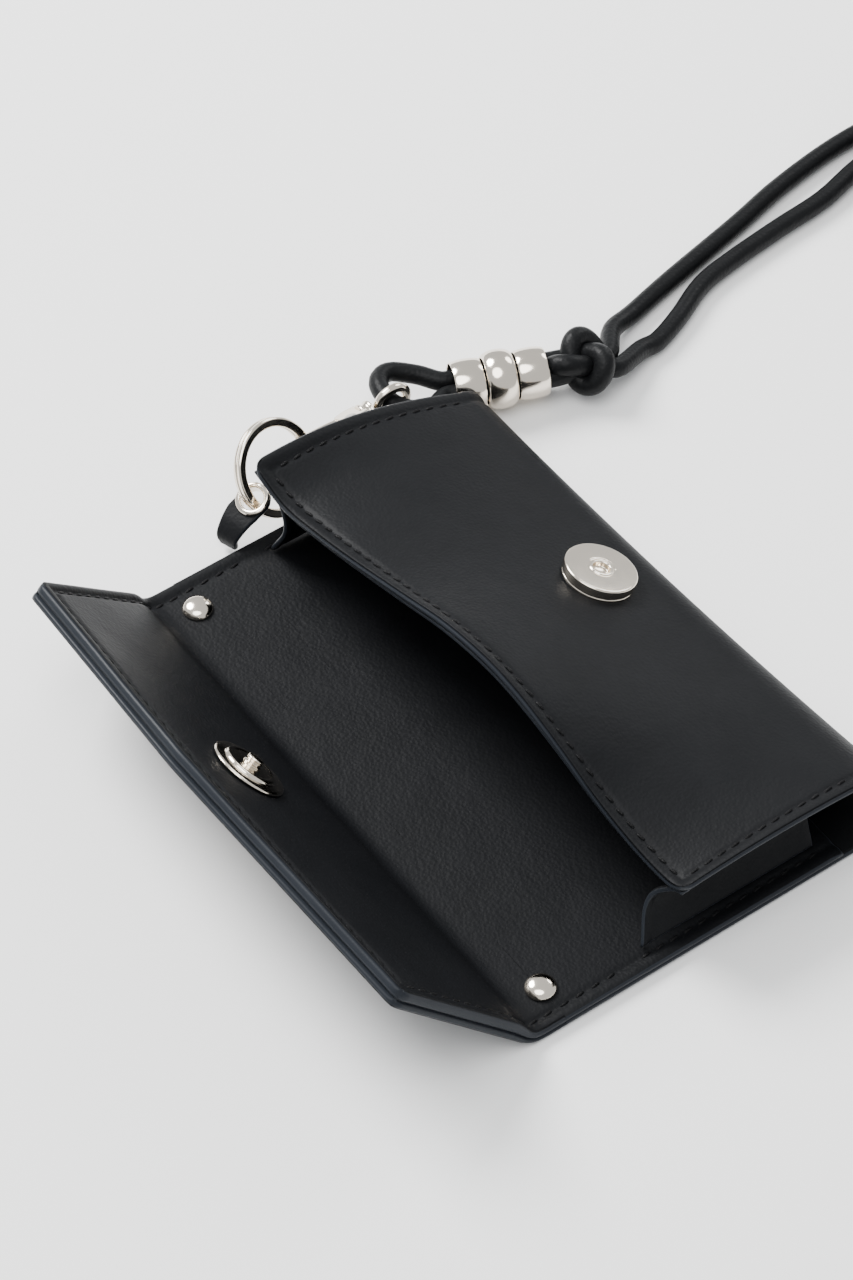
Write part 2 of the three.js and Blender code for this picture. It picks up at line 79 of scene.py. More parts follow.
# %% [markdown]
# ## Mesh helpers
# Three small makers do most of the work. A slab is a sheet of leather with a top, an underside and a rim,
# given by a formula of two positions and a depth. A turned piece is a profile spun round an axis, for snaps,
# rivets and beads. A tube follows a line of points with a round or flattened section. Each gives a plain
# mesh, and modifiers only round its edges.

# %% Helpers
def smoothstep(t):
    t = min(1.0, max(0.0, t))
    return t * t * (3 - 2 * t)


def lerp(a, b, t):
    return a + (b - a) * t


def finished(name, bm, materials, smooth=True):
    mesh = bpy.data.meshes.new(name)
    bmesh.ops.recalc_face_normals(bm, faces=bm.faces)
    bm.to_mesh(mesh)
    bm.free()
    for m in materials:
        mesh.materials.append(m)
    if smooth:
        mesh.shade_smooth()
    obj = bpy.data.objects.new(name, mesh)
    bpy.context.scene.collection.objects.link(obj)
    return obj


def rounded(obj, width, segments=3, angle=50):
    bevel = obj.modifiers.new("edge", "BEVEL")
    bevel.width, bevel.segments = width * MM, segments
    bevel.limit_method, bevel.angle_limit = "ANGLE", math.radians(angle)
    obj.modifiers.new("normals", "WEIGHTED_NORMAL")
    return obj


def steps(lo, hi, fine, reach, coarse):
    """Positions from lo to hi, close together near the ends and wider apart in the middle."""
    near = [lo + fine * i for i in range(int(reach / fine) + 1)]
    far = [hi - fine * i for i in range(int(reach / fine) + 1)][::-1]
    inner = max(2, int((far[0] - near[-1]) / coarse))
    return near + [lerp(near[-1], far[0], i / inner) for i in range(1, inner)] + far


# %% [markdown]
# ## Sheets of leather
# A cut edge of leather is never square: it is sanded, painted and rubbed until it is round. So each sheet
# gets a rim of several rows that bulge like a bead, and where two layers are sewn together the rim has one
# bead for each, with a dark groove between them. A modifier could round the edge too, but the rows keep the
# groove exactly where the layers meet.

# %% Leather sheets
def round_rim(layers, depth):
    """Rows down a rim: for each layer of the thickness a rounded bead, with a groove between layers."""
    rows = []
    for n, (low, high) in enumerate(layers):
        for k in range(7):
            t = -1 + k / 3
            rows.append((lerp(low, high, (t + 1) / 2), depth * (1 - math.sqrt(max(0.0, 1 - t * t)))))
        if n < len(layers) - 1:
            rows.append((high + 0.02, depth * 2.2))
    return rows


def slab(name, us, vs, place, materials, open_start=False, open_end=False, layers=((0, 1),), depth=0.55):
    """place(u, v, w) in mm, w = 1 on top and 0 underneath. Materials: top, underside, rim."""
    bm = bmesh.new()
    top = [[Vector(place(u, v, 1)) for v in vs] for u in us]
    low = [[Vector(place(u, v, 0)) for v in vs] for u in us]
    nu, nv = len(us) - 1, len(vs) - 1
    loop = ([(i, 0) for i in range(nu)] + [(nu, j) for j in range(nv)] + [(i, nv) for i in range(nu, 0, -1)]
            + [(0, j) for j in range(nv, 0, -1)])
    rows, rim = round_rim(layers, depth), {}
    for i, j in loop:
        ii = min(max(i, 1), nu - 1)
        jj = j if (j == 0 and open_start) or (j == nv and open_end) else min(max(j, 1), nv - 1)
        inside = (top[ii][jj] - top[i][j])
        inside = inside.normalized() * (1.35 if ii != i and jj != j else 1.0)
        a, b = low[i][j], top[i][j]
        rim[i, j] = [bm.verts.new((a.lerp(b, w) + inside * inset) * MM) for w, inset in rows]

    def corner(i, j, grid, row):
        return rim[i, j][row] if (i, j) in rim else bm.verts.new(grid[i][j] * MM)

    cap = [[corner(i, j, top, -1) for j in range(nv + 1)] for i in range(nu + 1)]
    foot = [[corner(i, j, low, 0) for j in range(nv + 1)] for i in range(nu + 1)]
    for i in range(nu):
        for j in range(nv):
            bm.faces.new((cap[i][j], cap[i + 1][j], cap[i + 1][j + 1], cap[i][j + 1])).material_index = 0
            bm.faces.new((foot[i][j], foot[i][j + 1], foot[i + 1][j + 1], foot[i + 1][j])).material_index = 1
    for p, q in zip(loop, loop[1:] + loop[:1]):
        if (p[1] == q[1] == 0 and open_start) or (p[1] == q[1] == nv and open_end):
            continue
        for k in range(len(rows) - 1):
            bm.faces.new((rim[p][k], rim[q][k], rim[q][k + 1], rim[p][k + 1])).material_index = 2
    return finished(name, bm, materials)


def soft_corner(a, b, r):
    """Distances a and b from two edges that meet: the corner between them becomes an arc of radius r."""
    if a >= r or b >= r:
        return a, b
    u, v = (r - a) / r, (r - b) / r
    return r * (1 - u * math.sqrt(1 - v * v / 2)), r * (1 - v * math.sqrt(1 - u * u / 2))


# %% [markdown]
# ## Turned pieces
# Snaps, rivets and beads are made by spinning a profile, as on a lathe. A profile is a short list of radius
# and height, and the only modifier is a tiny bevel that catches the light on its corners.

# %% Turned pieces
def axes_to(direction):
    return Vector(direction).normalized().to_track_quat("Z", "X").to_matrix()


def turned(name, profile, at, direction, material, sides=72):
    """A profile of (radius, height) in mm, spun round the direction."""
    bm = bmesh.new()
    turn, at = axes_to(direction), Vector(at)
    rings = []
    for r, h in profile:
        if r < 1e-6:
            rings.append([bm.verts.new((at + turn @ Vector((0, 0, h))) * MM)])
        else:
            angles = [2 * math.pi * k / sides for k in range(sides)]
            rings.append([bm.verts.new((at + turn @ Vector((r * math.cos(a), r * math.sin(a),
                                                            h))) * MM) for a in angles])
    for a, b in zip(rings, rings[1:] + ([rings[0]] if profile[0][0] > 1e-6 else [])):
        for k in range(sides):
            q = [a[k % len(a)], a[(k + 1) % len(a)], b[(k + 1) % len(b)], b[k % len(b)]]
            q = list(dict.fromkeys(q))
            if len(q) > 2:
                bm.faces.new(q)
    obj = finished(name, bm, [material])
    return rounded(obj, 0.14, 2, 28)


# %% [markdown]
# ## Lines and tubes
# A few chosen points make a smooth line when each stretch between two of them also looks at its neighbours. A
# tube is that line with a circle carried along it, which suits the hook's bow and the knot.

# %% Lines and tubes
def soft_line(points, per=8):
    """A smooth line through the points, as closely spaced points."""
    p = [Vector(q) for q in points]
    p = [2 * p[0] - p[1]] + p + [2 * p[-1] - p[-2]]
    out = []
    for a, b, c, d in zip(p, p[1:], p[2:], p[3:]):
        for k in range(per):
            t = k / per
            square, cube = 2 * a - 5 * b + 4 * c - d, 3 * b - a - 3 * c + d
            out.append(0.5 * (2 * b + (c - a) * t + square * t * t + cube * t ** 3))
    return out + [p[-2]]


def tube(name, line, radius, material, sides=16, flat=1.0, up=(0, 0, 1)):
    """A bar along the line; radius is a number or a function of the share along it; flat squashes it along up."""
    bm = bmesh.new()
    rings, n = [], len(line)
    for i, p in enumerate(line):
        ahead = (line[min(i + 1, n - 1)] - line[max(i - 1, 0)]).normalized()
        side = ahead.cross(Vector(up)).normalized()
        over = side.cross(ahead).normalized()
        r = radius(i / (n - 1)) if callable(radius) else radius
        rings.append([bm.verts.new((p + side * r * math.cos(a) + over * r * flat * math.sin(a)) * MM)
                      for a in (2 * math.pi * k / sides for k in range(sides))])
    for a, b in zip(rings, rings[1:]):
        for k in range(sides):
            bm.faces.new((a[k], a[(k + 1) % sides], b[(k + 1) % sides], b[k]))
    bm.faces.new(rings[0])
    bm.faces.new(rings[-1])
    return finished(name, bm, [material])


def hide_for(obj, body, *nodes):
    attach(obj, body)
    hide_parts(*nodes)
    return obj


# %% [markdown]
# ## Leather, thread and metal
# The leather is a dark base under two bumps: small cells for the grain and a soft, wide noise for the hand of
# the hide. Roughness varies a little so that the light breaks up. The burnished edge is smoother and greyer,
# because it is sealed with a paint. The nickel is warm and polished with faint fine scratches in its
# roughness.

# %% Materials
def node_material(name):
    m = bpy.data.materials.new(name)
    m.use_nodes = True
    tree = m.node_tree
    shader = next(n for n in tree.nodes if n.type == "BSDF_PRINCIPLED")
    return m, tree, shader


def noise(tree, scale, detail=3.0, rough=0.55):
    where = tree.nodes.new("ShaderNodeTexCoord")
    n = tree.nodes.new("ShaderNodeTexNoise")
    n.inputs["Scale"].default_value = scale
    n.inputs["Detail"].default_value = detail
    n.inputs["Roughness"].default_value = rough
    tree.links.new(where.outputs["Object"], n.inputs["Vector"])
    return n


def spread(tree, value, low, high):
    r = tree.nodes.new("ShaderNodeMapRange")
    r.inputs["To Min"].default_value, r.inputs["To Max"].default_value = low, high
    tree.links.new(value, r.inputs["Value"])
    return r.outputs["Result"]


# %% [markdown]
# ## Leather
# Leather reflects little, but its grain breaks up what it does reflect. Small cells give the grain, and a
# softer noise gives the folds of the hide. The cells are pushed about by another noise first, or they would
# look like tiles.

# %% Leather shader
def leather(name, dark, light, rough, cell=0.9, pebble=0.25, crease=0.12):
    m, tree, shader = node_material(name)
    where = tree.nodes.new("ShaderNodeTexCoord")
    warp = noise(tree, 260.0)
    mix = tree.nodes.new("ShaderNodeVectorMath")
    mix.operation = "MULTIPLY_ADD"
    mix.inputs[1].default_value = (0.0009, 0.0009, 0.0009)
    tree.links.new(warp.outputs["Color"], mix.inputs[0])
    tree.links.new(where.outputs["Object"], mix.inputs[2])
    cells = tree.nodes.new("ShaderNodeTexVoronoi")
    cells.feature = "SMOOTH_F1"
    cells.inputs["Scale"].default_value = 1000.0 / cell
    cells.inputs["Smoothness"].default_value = 0.6
    tree.links.new(mix.outputs["Vector"], cells.inputs["Vector"])
    hide = noise(tree, 90.0, 5.0)
    wide = noise(tree, 22.0, 2.0)
    colour = tree.nodes.new("ShaderNodeMixRGB")
    colour.inputs["Color1"].default_value = (*dark, 1)
    colour.inputs["Color2"].default_value = (*light, 1)
    tree.links.new(hide.outputs["Fac"], colour.inputs["Fac"])
    tree.links.new(colour.outputs["Color"], shader.inputs["Base Color"])
    tree.links.new(spread(tree, wide.outputs["Fac"], rough - 0.07, rough + 0.09), shader.inputs["Roughness"])
    grain = tree.nodes.new("ShaderNodeBump")
    grain.inputs["Strength"].default_value = pebble
    grain.inputs["Distance"].default_value = 0.0003
    tree.links.new(cells.outputs["Distance"], grain.inputs["Height"])
    folds = tree.nodes.new("ShaderNodeBump")
    folds.inputs["Strength"].default_value = crease
    folds.inputs["Distance"].default_value = 0.0012
    tree.links.new(hide.outputs["Fac"], folds.inputs["Height"])
    tree.links.new(folds.outputs["Normal"], grain.inputs["Normal"])
    tree.links.new(grain.outputs["Normal"], shader.inputs["Normal"])
    shader.inputs["Specular IOR Level"].default_value = 0.11
    return m


# %% [markdown]
# ## Metal
# Plated metal is almost a mirror. A fine noise in the roughness stands for the scratches of a worn finish.

# %% Metal shader
def metal(name, colour, rough, scratch=0.05):
    m, tree, shader = node_material(name)
    shader.inputs["Base Color"].default_value = (*colour, 1)
    shader.inputs["Metallic"].default_value = 1.0
    wear = noise(tree, 420.0, 6.0, 0.7)
    tree.links.new(spread(tree, wear.outputs["Fac"], rough, rough + 0.12), shader.inputs["Roughness"])
    bump = tree.nodes.new("ShaderNodeBump")
    bump.inputs["Strength"].default_value = scratch
    bump.inputs["Distance"].default_value = 0.0002
    tree.links.new(wear.outputs["Fac"], bump.inputs["Height"])
    tree.links.new(bump.outputs["Normal"], shader.inputs["Normal"])
    return m


# %% [markdown]
# ## The finishes in use
# Each finish of the wallet gets its own name: the outer leather, the lining, the painted edge, the cord, the
# thread, the bright plated metal, and the duller metal of the hidden backs.

# %% Finishes
GRAIN = leather("grain leather", (0.0028, 0.0031, 0.0038), (0.0060, 0.0064, 0.0074), 0.50, 0.8, 0.22, 0.22)
INNER = leather("lining leather", (0.0035, 0.0038, 0.0042), (0.0065, 0.0068, 0.0075), 0.55, 1.3, 0.10, 0.10)
EDGE = leather("burnished edge", (0.012, 0.014, 0.018), (0.020, 0.023, 0.028), 0.34, 0.5, 0.06, 0.06)
CORD = leather("cord leather", (0.004, 0.0042, 0.0046), (0.008, 0.0084, 0.009), 0.40, 0.8, 0.25, 0.2)
THREAD = leather("waxed thread", (0.003, 0.003, 0.0034), (0.006, 0.006, 0.0065), 0.45, 0.25, 0.5, 0.1)
NICKEL = metal("pale nickel", (0.82, 0.745, 0.64), 0.07)
DULL = metal("dull nickel", (0.50, 0.48, 0.45), 0.28)
SHEET = [GRAIN, INNER, EDGE]
print("materials:", len(bpy.data.materials))

# %% [markdown]
# ## The strap: one closed cord
# The strap is a single round leather cord. It starts hidden in the middle bead, turns round through the
# hook's eye, comes back through the beads and the knot, and runs out as two strands. The length that a wearer
# would have round the belt lies as a neat coil: one strand winds inwards as a helix, turns back on top and
# winds down again inside the first, so both ends leave on the same side. The cord is made first because its
# room decides the rest.

# %% Cord
CORD_D = 5.0
bead_dir = Vector((0.376, 0.927, 0)).normalized()
bead_side = Vector((bead_dir.y, -bead_dir.x, 0))
bead_mid = Vector((-82.6, 47.6, 7.4))
OFF = 2.65


def on_strap(s, off, z=0.0):
    return bead_mid + bead_dir * s + bead_side * off + Vector((0, 0, z))


loop = [on_strap(0, -OFF), on_strap(-5, -OFF), on_strap(-10, -OFF), on_strap(-14, -OFF),
        (-95, 31.6, 8.2), (-98.6, 25.8, 9.6), (-96.2, 21.2, 10.5), (-89.3, 19.9, 10.8), (-84.2, 23.3, 10.2),
        (-83.6, 28.8, 8.6), on_strap(-14, OFF), on_strap(-10, OFF), on_strap(-5, OFF), on_strap(2, OFF)]
through_a = [on_strap(9, OFF), on_strap(14, OFF), on_strap(19, 2.0, 0.2), on_strap(24, 0.4, 0.2),
             on_strap(28.5, -2.4, -0.6)]
upper = [(-81.4, 81.6, 4.6), (-84.4, 90.5, 2.8), (-88.3, 105.8, 2.6), (-93.7, 130.7, 2.6), (-97.8, 147.4, 2.6),
         (-100.9, 168, 2.6), (-101.0, 188, 2.7)]

# %% [markdown]
# ## The stored length
# The coil is worked out by a loop. The cord climbs one turn for every rise a little over its own thickness,
# so that the turns lie on each other without touching, and then turns back and comes down inside.

# %% Stored length as a coil
COIL = Vector((-68, 205, 0))
R_OUT, R_IN, RISE, FALL, Z0 = 31.3, 25.8, 5.3, 6.6, 3.3
outer = [COIL + Vector((R_OUT * math.cos(a), R_OUT * math.sin(a), Z0 + RISE * k / 48)) for k, a in
         ((k, math.pi - 2 * math.pi * k / 48) for k in range(2, 95))]
end = math.pi - 2 * math.pi * 94 / 48
bight = [COIL + Vector((r * math.cos(end + a), r * math.sin(end + a), 14.0))
         for r, a in ((30.0, -0.20), (25.5, -0.42), (18.5, -0.46), (13.5, -0.18), (13.6, 0.35), (17.0, 0.85),
                      (21.5, 1.3), (24.8, 1.8))]
inner = [COIL + Vector((R_IN * math.cos(a), R_IN * math.sin(a), Z0 + 10.3 - FALL * k / 48)) for k, a in
         ((k, end + 2.3 + 2 * math.pi * k / 48) for k in range(0, 76))]
lower = [(-93.4, 190, 2.7), (-92.6, 176, 2.6), (-91.0, 166.1, 2.6), (-87.8, 153.4, 2.6), (-86.4, 138.4, 2.6),
         (-84.4, 121.4, 2.6), (-82.1, 110.2, 2.6), (-77.0, 99.5, 2.6), (-73.4, 90, 2.6), (-72.8, 84, 3.4)]
through_b = [on_strap(29, 2.6, -0.8), on_strap(24, -1.0, 0.2), on_strap(19, -2.4, 0.2), on_strap(14, -OFF),
             on_strap(9, -OFF), on_strap(1.5, -OFF)]
route = [Vector(q) for q in loop + through_a + upper + outer + bight + inner + lower + through_b]
line = soft_line(route, 5)
curve = bpy.data.curves.new("strap_cord", "CURVE")
curve.dimensions = "3D"
spline = curve.splines.new("POLY")
spline.points.add(len(line) - 1)
for point, q in zip(spline.points, line):
    point.co = (*(q * MM), 1)
curve.bevel_depth, curve.bevel_resolution, curve.use_fill_caps = CORD_D / 2 * MM, 5, True
curve.materials.append(CORD)
strap = bpy.data.objects.new("strap_cord", curve)
bpy.context.scene.collection.objects.link(strap)
hide_for(strap, "back", "strap_loop", "strap_strand_upper", "strap_strand_lower", "strap_coil")

# %% [markdown]
# ## The body: back, bent bottom and arched front in one piece
# A wallet body is one piece of leather folded at the bottom, so it is one mesh here, though the imported parts
# cut it in three. Its front panel arches out at the mouth. Near each edge the surface rises into a bead and
# dips again where the stitches pull it down.

# %% Shape of the body
HALF, BACK_Y0, FOLD_Y = 78.0, -30.0, 30.0
RISE_AT = [(-78, 0), (-66, -4.6), (-53, -2.8), (-40, 0.5), (-20, 6.6), (-5, 11), (10, 12.5),
           (22, 10.8), (36, 6), (47, 1.1), (60, -2.5), (72, -3.3), (78, -1)]


def lip_rise(x):
    i = 0
    while i < len(RISE_AT) - 2 and x > RISE_AT[i + 1][0]:
        i += 1
    at = [RISE_AT[min(len(RISE_AT) - 1, max(0, k))] for k in (i - 1, i, i + 1, i + 2)]
    (xa, ya), (x0, y0), (x1, y1), (xb, yb) = at
    t = min(1.0, max(0.0, (x - x0) / (x1 - x0)))
    m0, m1 = (y1 - ya) / (x1 - xa) * (x1 - x0), (yb - y0) / (xb - x0) * (x1 - x0)
    return ((2 * t ** 3 - 3 * t ** 2 + 1) * y0 + (t ** 3 - 2 * t ** 2 + t) * m0
            + (3 * t ** 2 - 2 * t ** 3) * y1 + (t ** 3 - t ** 2) * m1)


def share(x):
    return min(1.0, max(0.0, (x + HALF) / (2 * HALF)))


def fold_radius(x):
    return lerp(8.5, 12.5, share(x) ** 2)


def lip_end(x):
    return lerp(-28.8, -20.4, share(x)), lerp(30.8, 25.9, share(x))


def leave_angle(x):
    r, (y, z) = fold_radius(x), lip_end(x)
    return math.atan2(z - r, y - FOLD_Y) - math.acos(r / math.hypot(y - FOLD_Y, z - r))


def front_skin(x, v):
    r, a, (y1, z1) = fold_radius(x), leave_angle(x), lip_end(x)
    bulge = 4 * v * (1 - v) * lerp(2.6, 1.0, share(x))
    return Vector((0, lerp(FOLD_Y + r * math.cos(a), y1, v),
                   lerp(r + r * math.sin(a), z1, v) + lip_rise(x) * max(0.0, v) ** 1.6 + bulge))


def front_at(x, v, depth):
    t = (front_skin(x, v + 0.01) - front_skin(x, v - 0.01)).normalized()
    p = front_skin(x, v)
    return Vector((x, p.y - t.z * depth, p.z + t.y * depth))


def body_at(x, s, depth):
    """s runs 0 to 1 over the back, 1 to 2 round the bottom, 2 to 3 over the front."""
    if s <= 1:
        return Vector((x, lerp(BACK_Y0, FOLD_Y, s), depth))
    if s >= 2:
        return front_at(x, s - 2, depth)
    r, a = fold_radius(x), lerp(-math.pi / 2, leave_angle(x), s - 1)
    return Vector((x, FOLD_Y + (r - depth) * math.cos(a), r + (r - depth) * math.sin(a)))


# %% [markdown]
# ## The outer leather
# The surface is the shape above with a little relief on it. Close to the edge it swells to a bead, and along
# the seam it is pulled down by the thread.

# %% Outer leather
LIP_RUN = 60.0
SEAM = 3.7


def seam_profile(d):
    """Height of the surface at a distance d from an edge: a bead, then a stitched groove, then flat."""
    bead = 0.30 * math.exp(-((d - 1.5) / 1.15) ** 2)
    groove = -0.34 * math.exp(-((d - SEAM) / 0.75) ** 2)
    pull = -0.10 * math.exp(-((d - SEAM) / 2.6) ** 2)
    return bead + groove + pull


def body_skin(x, s, w):
    side = HALF - abs(x)
    lip = (3 - s) * LIP_RUN if s > 2 else 99
    side, lip = soft_corner(side, lip, 4.0)
    x, s = math.copysign(HALF - side, x), 3 - lip / LIP_RUN if s > 2 else s
    d = min(side, lip) if s > 1.75 else side
    swell = seam_profile(d) if s > 0.15 else 0
    wave = 0.12 * math.sin(x * 0.11 + 1.3) * math.sin(s * 3.1) if s > 2 else 0
    if s < 1.02:
        swell = 0
    bow = 1.9 * math.sin(math.pi * min(1, max(0, s - 2))) if s > 2 else 0
    px = x - bow * (1 - share(x)) ** 6
    p = body_at(x, s, 1.4 if w == 0 else -(swell + wave))
    p.x = px
    return p


xs = steps(-HALF, HALF, 0.5, 6.5, 2.4)
back_s = [0, 0.02, 0.05, 0.2, 0.4, 0.6, 0.8, 0.95]
fold_s = [1 + k / 22 for k in range(23)]
front_s = [2 + k / 24 * 0.88 for k in range(1, 25)] + [2.88 + k / 14 * 0.12 for k in range(1, 15)]
body = slab("body_leather", xs, back_s + fold_s + front_s, body_skin, SHEET, open_start=True, depth=0.6)
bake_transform(body)
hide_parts("back_panel", "bottom_fold", "front_panel")
print("body mesh:", len(body.data.vertices), "points")

# %% [markdown]
# ## Lining
# The lining is a second, thinner sheet inside the first. On the back it runs out to the same edge as the
# outer leather and is sewn to it along the ends, and there it runs on into the flap without a seam. Behind
# the front panel it stops a millimetre short, so that the outer leather frames it.

# %% Lining
LINED = HALF - 1


def lining_at(x, s, w):
    depth = 1.7 if w == 1 else 2.75
    wave = 0.12 * math.sin(x * 0.09) * math.sin(s * 4)
    return body_at(x, s, depth + wave * (0 if w == 1 else 1))


def lining_back(x, s, w):
    swell = seam_profile(HALF - abs(x)) * 0.9
    return body_at(x, s, 1.45 if w == 0 else 2.8 + swell)


xl = steps(-LINED, LINED, 0.6, 5, 3)
lining = slab("back_lining_leather", xs, [0.0] + [0.05 * k for k in range(1, 20)], lining_back, SHEET,
              open_start=True,
              depth=0.45)
hide_for(lining, "back", "back_lining")
front_lining = slab("front_lining_leather", xl, [1.97 + k / 30 * 1.02 for k in range(31)], lining_at,
                    [INNER, INNER, EDGE], depth=0.35)
hide_for(front_lining, "front", "front_lining")

# %% [markdown]
# ## Gussets
# A gusset is the folded wall that lets a pocket open. Each end has one piece with a single fold pointing
# inwards and a turned edge at the mouth. Its lower edge lies on the back and its upper edge follows the front,
# and the wall is blended between them.

# %% Gussets
GUSSET_X = HALF - 2.4


def gusset_line(side, u, v):
    x = side * GUSSET_X
    top = front_at(x, lerp(0.1, 0.95, u), 3.7)
    inset = 3.0 * (1 - v) ** 2 + 9 * math.sin(math.pi * v) * (0.55 + 0.45 * v)
    return Vector((x - side * inset, lerp(lerp(22, -27, u), top.y, v), lerp(3.7, top.z, v)))


for name, side in (("gusset_left", -1), ("gusset_right", 1)):
    def wall(u, v, w, side=side):
        t = gusset_line(side, u, v + 0.01) - gusset_line(side, u, v - 0.01)
        out = Vector((t.z, 0, -t.x)).normalized()
        edge = (1 - u) * 52
        roll = 0.22 * math.exp(-((edge - 1.0) / 0.9) ** 2) - 0.2 * math.exp(-((edge - 3.0) / 0.5) ** 2)
        return gusset_line(side, u, v) + out * ((w - 0.5) * (1.0 + 2 * roll))

    us = [k / 20 * 0.88 for k in range(20)] + [0.88 + k / 12 * 0.12 for k in range(13)]
    gusset = slab(name + "_leather", us, [k / 24 for k in range(25)], wall, [GRAIN, GRAIN, EDGE], depth=0.35)
    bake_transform(gusset)
    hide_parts(name)

# %% [markdown]
# ## The flap in two bending sheets
# The flap bends twice: at the back line, and again at the crease behind its stiff front. The first sheet runs
# from the back line to the middle of the flap, and the second from there over the crease to the point. Both
# come from one formula that walks along the leather and turns through the crease as an arc, so they meet in a
# line that can't be seen. The front carries a second, thicker layer whose rim makes the outer of the two
# parallel beads.

# %% Shape of the flap
TILT = math.radians(46)
CREASE_Y, FRONT_LEN, POINT_X = -60.8, 47.5, -9.0
ALONG, INWARD = Vector((0, -math.cos(TILT), math.sin(TILT))), Vector((0, math.sin(TILT), math.cos(TILT)))
START = Vector((0, CREASE_Y, 1.4))
BEND_R = 9.0
BEND_RUN = BEND_R * math.tan(TILT / 2)


def flap_path(d, h):
    """d is the run along the flap counted from the crease, h the height over the seam between its layers."""
    if d <= -BEND_RUN:
        return Vector((0, CREASE_Y - d, 1.4 + h))
    if d >= BEND_RUN:
        return START + ALONG * d + INWARD * h
    a = TILT * (d + BEND_RUN) / (2 * BEND_RUN)
    centre = Vector((0, CREASE_Y + BEND_RUN, 1.4 + BEND_R))
    return centre + Vector((0, -math.sin(a), -math.cos(a))) * (BEND_R - h)


def flap_half(d):
    return HALF - 6.5 * max(0.0, d) / FRONT_LEN


def flap_front_point(u, d, inset=0.0):
    """u from -1 to 1 across; the point of the flap pulls the middle further out."""
    half = flap_half(d) - inset
    x = lerp(POINT_X, half, u) if u > 0 else lerp(POINT_X, -half, -u)
    return x, d + (1 - abs(u)) * 4.5 * max(0.0, d) / FRONT_LEN


# %% [markdown]
# ## The middle of the flap
# This sheet runs from the back line to the middle of the flap.

# %% Middle of the flap
def flap_middle_at(x, d, w):
    swell = seam_profile(HALF - abs(x)) * 0.9
    return flap_path(d, 1.4 + swell if w else -1.4) + Vector((x, 0, 0))


CUT = -9.0
back_run = CREASE_Y - BACK_Y0
run_a = [back_run + 0.5 * k for k in range(14)]
run_a += [lerp(run_a[-1], CUT, k / 8) for k in range(1, 9)]
sheet_a = slab("flap_middle_sheet", xs, run_a, flap_middle_at, SHEET, open_start=True, open_end=True,
               layers=((0, 0.46), (0.56, 1)), depth=0.4)
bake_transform(sheet_a)
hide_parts("flap_hinge_strip", "flap_middle_leather", "flap_middle_lining")


# %% [markdown]
# ## The front of the flap
# Past the crease the inner layer thickens into a stiff facing. Across, the sheet is stretched towards the
# flap's point, and its corners are rounded.

# %% Front of the flap
def flap_front_at(u, d, w):
    """The lining side thickens past the crease into the stiff facing."""
    half = flap_half(d)
    side, tip = half * (1 - abs(u)), FRONT_LEN - d
    thick = lerp(1.4, 2.9, smoothstep((d + 1) / 9))
    side, tip = soft_corner(side, tip, 3.0)
    swell = 1.25 * seam_profile(min(side, tip) if d > -2 else side)
    x, run = flap_front_point(math.copysign(1 - side / half, u) if u else 0.0, FRONT_LEN - tip)
    if run < BEND_RUN + 0.5:
        x = math.copysign(half - side, u) if u else 0.0
    wave = 0.10 * math.sin(x * 0.13) * math.sin(run * 0.2)
    return flap_path(run, thick + swell + wave if w else -1.4 - 0.5 * seam_profile(min(side, tip))) + Vector((x,
                                                                                                              0, 0))


us_b = [x / HALF for x in xs]
run_b = [lerp(CUT, -3, k / 5) for k in range(6)] + [-3 + 0.5 * k for k in range(1, 13)]
run_b += [lerp(3, FRONT_LEN - 7, k / 18) for k in range(1, 19)] + [FRONT_LEN - 7 + 0.5 * k for k in range(1, 15)]
sheet_b = slab("flap_front_sheet", us_b, run_b, flap_front_at, SHEET, open_start=True,
               layers=((0, 0.34), (0.42, 1)), depth=0.7)
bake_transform(sheet_b)
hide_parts("flap_front_leather", "flap_front_facing")
print("flap sheets:", len(sheet_a.data.vertices) + len(sheet_b.data.vertices), "points")

# %% [markdown]
# ## Stitches
# Each stitch is its own short bar of thread, a little shorter than the pitch, tilted and sunk into the
# groove. A row is one mesh, so it can ride a body.

# %% Stitches
PITCH = 3.7


def along_line(points, pitch):
    """Middles, directions of stitches at an even pitch along a line of points."""
    runs = [0.0]
    for a, b in zip(points, points[1:]):
        runs.append(runs[-1] + (b - a).length)
    count = max(1, int(runs[-1] / pitch))
    out, k = [], 0
    for n in range(count):
        want = (n + 0.5) * runs[-1] / count
        while runs[k + 1] < want:
            k += 1
        t = (want - runs[k]) / (runs[k + 1] - runs[k])
        out.append((points[k].lerp(points[k + 1], t), (points[k + 1] - points[k]).normalized(), k))
    return out


